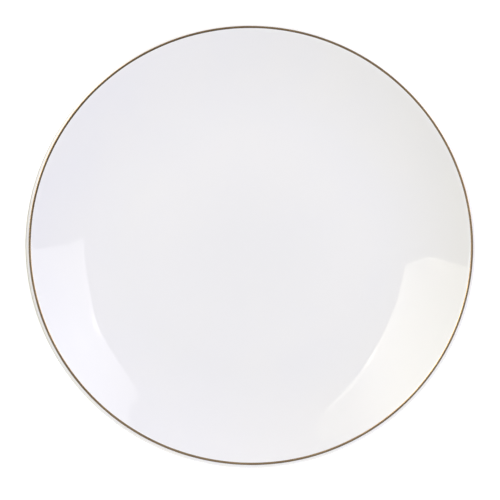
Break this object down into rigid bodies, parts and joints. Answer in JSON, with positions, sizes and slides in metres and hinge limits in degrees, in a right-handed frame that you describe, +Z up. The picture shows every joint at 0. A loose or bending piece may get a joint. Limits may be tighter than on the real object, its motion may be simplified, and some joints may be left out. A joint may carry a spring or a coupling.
{
  "type": "dinner plate",
  "caption": "Round rimless coupe dinner plate in white glazed porcelain, gently curved up from a flat well to a rounded lip with a thin gold line, on a low bare foot ring.",
  "frame": {"origin": "centre of the circle on which the foot ring meets the table", "axes": "+Z up through the middle of the plate, which is round about it; +X and +Y lie in the table"},
  "size_m": [0.27, 0.27, 0.0251],
  "materials": {
    "bisque": "matte",
    "glaze": "gloss",
    "gold": "polished"
  },
  "bodies": {
    "root": {"porcelain_body": "bisque", "outer_glaze": "glaze", "base_glaze": "glaze", "gold_band": "gold"}
  },
  "joints": []
}
